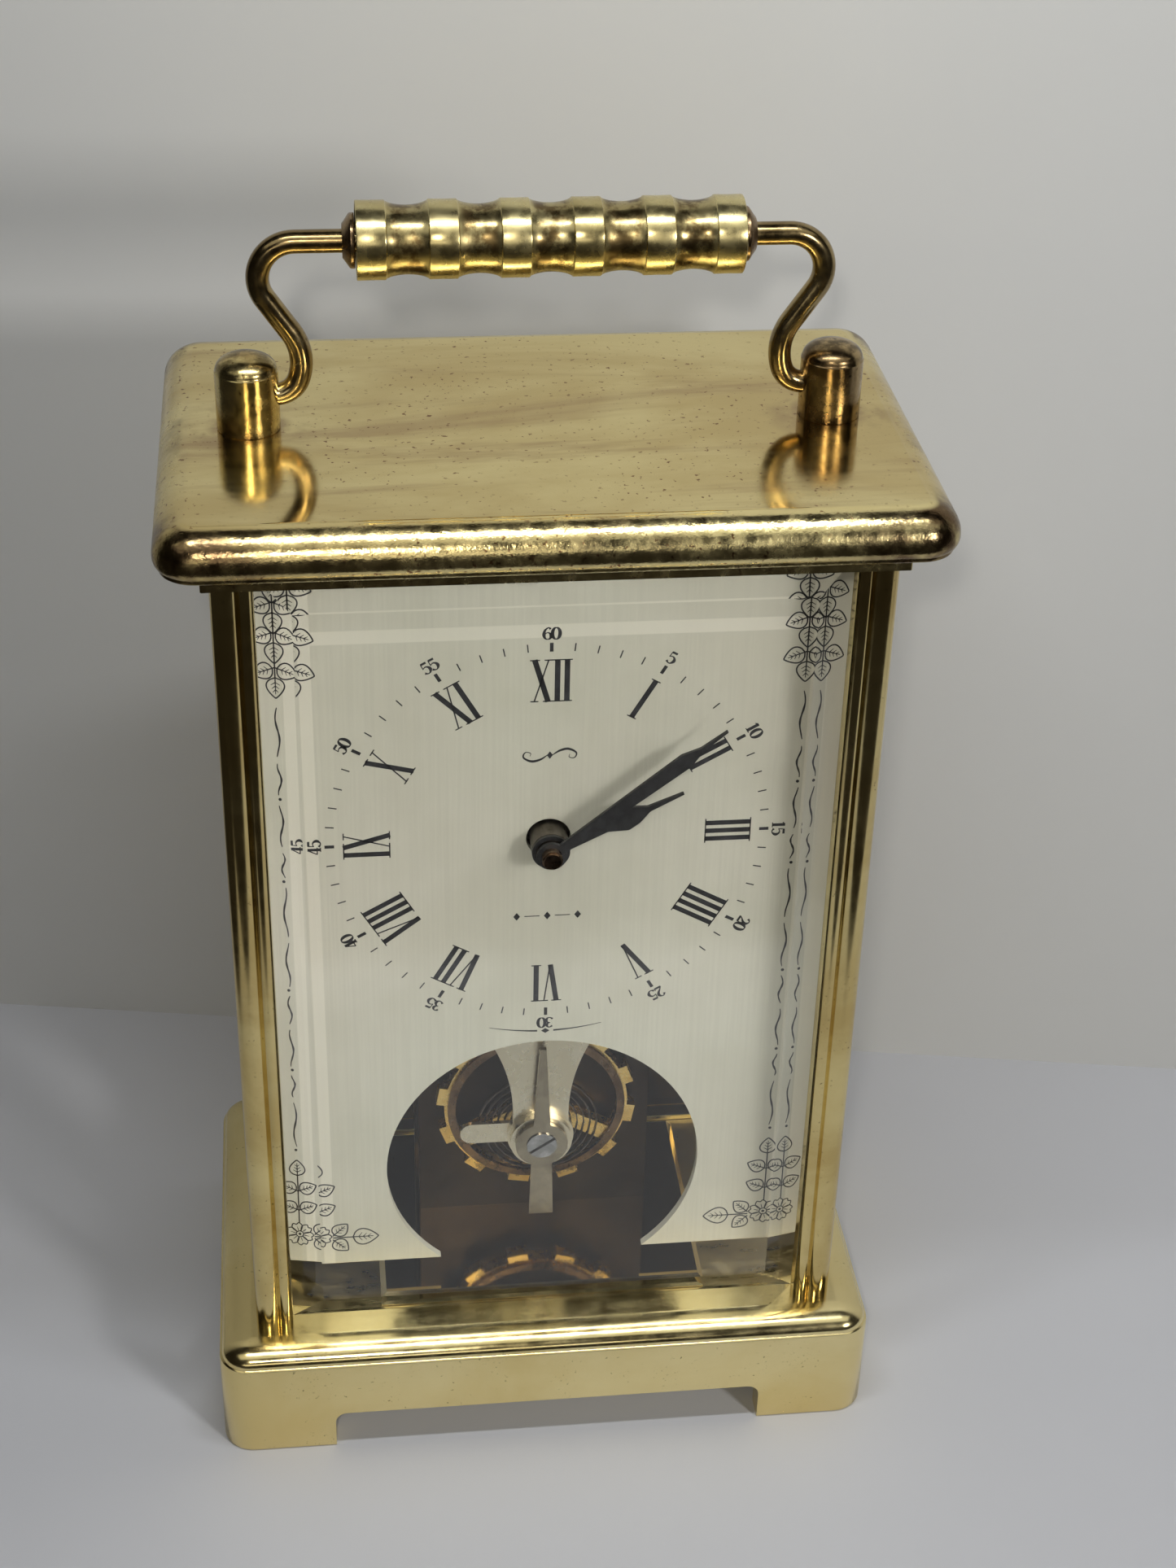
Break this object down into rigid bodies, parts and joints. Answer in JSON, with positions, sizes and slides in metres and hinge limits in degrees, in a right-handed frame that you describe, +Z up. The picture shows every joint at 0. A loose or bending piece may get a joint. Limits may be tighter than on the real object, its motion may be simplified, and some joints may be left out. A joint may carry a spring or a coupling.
{
  "type": "mantel clock",
  "caption": "Brass carriage-type mantel clock with bevelled glass, bail handle, cut-out dial showing the balance, geared spring movement and a hinged back door.",
  "frame": {"origin": "on the table under the middle of the case", "axes": "+X to the clock's right as one faces the dial, +Y to the back, +Z up"},
  "size_m": [0.084, 0.054, 0.155],
  "materials": {
    "case_brass": "polished and lacquered, with soft reflections and fine wipe marks",
    "cornice_brass": "polished, with cloudy tarnish, brown specks and a worn dark patina on the moulding",
    "door_brass": "polished and lacquered",
    "turret_brass": "polished, with dark specks round the dome",
    "turret_bronze": "worn to a dark brown patina",
    "bevelled_glass": "clear plate glass with polished bevels",
    "side_glass": "clear plate glass",
    "screw_steel": "bright turned steel",
    "bail_bronze": "brown bronze patina, rubbed bright on its bends",
    "ferrule_bronze": "dark bronze",
    "grip_brass": "turned brass, brown in the hollows",
    "dial_silver": "satin silvered cream with fine vertical brushing and black print",
    "hand_black": "black lacquer",
    "nut_bronze": "dull bronze",
    "plate_brass": "fine-grained brass plate",
    "wheel_brass": "gilt brass",
    "hour_pipe": "blackened brass",
    "arbor_steel": "polished steel",
    "spring_steel": "blued spring steel",
    "balance_gilt": "gilt, soft sheen",
    "balance_bronze": "dark bronze",
    "cock_nickel": "pale matt nickel",
    "index_steel": "grained steel"
  },
  "bodies": {
    "case": {"base_plinth": "case_brass", "case_floor": "case_brass", "movement_seat": "case_brass", "cornice": "cornice_brass", "pillar_front_left": "case_brass", "pillar_front_right": "case_brass", "pillar_rear_left": "case_brass", "pillar_rear_right": "case_brass", "front_glass": "bevelled_glass", "left_glass": "side_glass", "right_glass": "side_glass", "case_screws": "screw_steel", "left_turret": "turret_brass", "right_turret": "turret_bronze", "turret_nuts": "screw_steel", "dial_plate": "dial_silver", "dial_posts": "plate_brass", "front_plate": "plate_brass", "back_plate": "plate_brass", "plate_pillars": "plate_brass", "plate_screws": "screw_steel", "movement_screws": "screw_steel", "click_spring": "spring_steel", "minute_post": "arbor_steel", "hairspring": "spring_steel", "balance_cock": "cock_nickel", "stud_carrier": "cock_nickel", "pivot_screw": "arbor_steel"},
    "door": {"door_panel": "door_brass", "door_hinge_pins": "screw_steel"},
    "door_catch": {"door_knob": "door_brass", "door_latch": "screw_steel"},
    "bail": {"handle_bail": "bail_bronze", "handle_ferrules": "ferrule_bronze"},
    "grip": {"handle_grip": "grip_brass"},
    "minute_arbor": {"centre_arbor": "arbor_steel", "setting_knob": "wheel_brass", "cannon_pinion": "arbor_steel", "minute_hand": "hand_black", "hand_nut": "nut_bronze"},
    "minute_wheel": {"minute_wheel": "wheel_brass"},
    "hour_wheel": {"hour_wheel": "hour_pipe", "hour_hand": "hand_black"},
    "barrel": {"barrel_drum": "wheel_brass", "barrel_cover": "wheel_brass", "mainspring": "spring_steel"},
    "winding_arbor": {"barrel_arbor": "arbor_steel", "ratchet_wheel": "arbor_steel", "winding_key": "wheel_brass"},
    "click": {"click": "arbor_steel"},
    "intermediate_wheel": {"intermediate_wheel": "wheel_brass"},
    "centre_wheel": {"centre_wheel": "wheel_brass"},
    "third_wheel": {"third_wheel": "wheel_brass"},
    "fourth_wheel": {"fourth_wheel": "wheel_brass"},
    "escape_wheel": {"escape_wheel": "wheel_brass"},
    "pallet_lever": {"pallet_lever": "arbor_steel"},
    "balance": {"balance_wheel": "balance_gilt", "balance_ring": "balance_bronze", "balance_staff": "arbor_steel"},
    "regulator": {"regulator_index": "index_steel"}
  },
  "joints": [
    {"name": "door_swing", "type": "hinge", "parent": "case", "child": "door", "pos_m": [-0.0302, 0.0197, 0.07], "axis": [0, 0, 1], "range_deg": [0, 95]},
    {"name": "door_catch_turn", "type": "hinge", "parent": "door", "child": "door_catch", "pos_m": [0.0255, 0.0197, 0.07], "axis": [0, 1, 0], "range_deg": [0, 90]},
    {"name": "handle_swing", "type": "hinge", "parent": "case", "child": "bail", "pos_m": [0, 0, 0.1338], "axis": [1, 0, 0], "range_deg": [-88, 88]},
    {"name": "grip_roll", "type": "hinge", "parent": "bail", "child": "grip", "pos_m": [0.0006, 0, 0.1509], "axis": [1, 0, 0], "continuous": true},
    {"name": "hands_set", "type": "hinge", "parent": "case", "child": "minute_arbor", "pos_m": [0, 0.005, 0.084], "axis": [0, 1, 0], "continuous": true},
    {"name": "minute_wheel_spin", "type": "hinge", "parent": "case", "child": "minute_wheel", "pos_m": [0.0084, 0.005, 0.084], "axis": [0, 1, 0], "continuous": true},
    {"name": "hour_wheel_spin", "type": "hinge", "parent": "case", "child": "hour_wheel", "pos_m": [0, 0.005, 0.084], "axis": [0, 1, 0], "continuous": true},
    {"name": "third_wheel_spin", "type": "hinge", "parent": "case", "child": "third_wheel", "pos_m": [-0.004, 0.005, 0.07205], "axis": [0, 1, 0], "continuous": true},
    {"name": "centre_wheel_spin", "type": "hinge", "parent": "case", "child": "centre_wheel", "pos_m": [0, 0.005, 0.084], "axis": [0, 1, 0], "continuous": true},
    {"name": "intermediate_wheel_spin", "type": "hinge", "parent": "case", "child": "intermediate_wheel", "pos_m": [-0.01134, 0.005, 0.08948], "axis": [0, 1, 0], "continuous": true},
    {"name": "barrel_spin", "type": "hinge", "parent": "case", "child": "barrel", "pos_m": [0, 0.005, 0.1046], "axis": [0, 1, 0], "continuous": true},
    {"name": "fourth_wheel_spin", "type": "hinge", "parent": "case", "child": "fourth_wheel", "pos_m": [0.00303, 0.005, 0.06466], "axis": [0, 1, 0], "continuous": true},
    {"name": "escape_wheel_spin", "type": "hinge", "parent": "case", "child": "escape_wheel", "pos_m": [0, 0.005, 0.0558], "axis": [0, 1, 0], "continuous": true},
    {"name": "winding_turn", "type": "hinge", "parent": "case", "child": "winding_arbor", "pos_m": [0, 0.005, 0.1046], "axis": [0, 1, 0], "continuous": true},
    {"name": "click_lift", "type": "hinge", "parent": "case", "child": "click", "pos_m": [0.0086, 0.0145, 0.0992], "axis": [0, 1, 0], "range_deg": [0, 8], "stiffness_Nm_per_rad": 0.0001},
    {"name": "balance_swing", "type": "hinge", "parent": "case", "child": "balance", "pos_m": [0, -0.003, 0.0363], "axis": [0, 1, 0], "range_deg": [-135, 135], "stiffness_Nm_per_rad": 0.000057},
    {"name": "pallet_rock", "type": "hinge", "parent": "case", "child": "pallet_lever", "pos_m": [0, -0.003, 0.05018], "axis": [0, 1, 0], "range_deg": [-5, 5]},
    {"name": "regulator_turn", "type": "hinge", "parent": "case", "child": "regulator", "pos_m": [0, -0.011, 0.0363], "axis": [0, 1, 0], "range_deg": [-15, 15]}
  ],
  "couplings": [
    {"joint": "minute_wheel_spin", "follows": "hands_set", "ratio": -0.33333},
    {"joint": "hour_wheel_spin", "follows": "hands_set", "ratio": 0.083333},
    {"joint": "centre_wheel_spin", "follows": "third_wheel_spin", "ratio": -0.125},
    {"joint": "intermediate_wheel_spin", "follows": "third_wheel_spin", "ratio": 0.025},
    {"joint": "barrel_spin", "follows": "third_wheel_spin", "ratio": -0.0041667},
    {"joint": "fourth_wheel_spin", "follows": "third_wheel_spin", "ratio": -7.5},
    {"joint": "escape_wheel_spin", "follows": "third_wheel_spin", "ratio": 60},
    {"joint": "pallet_rock", "follows": "balance_swing", "ratio": -0.037037}
  ]
}
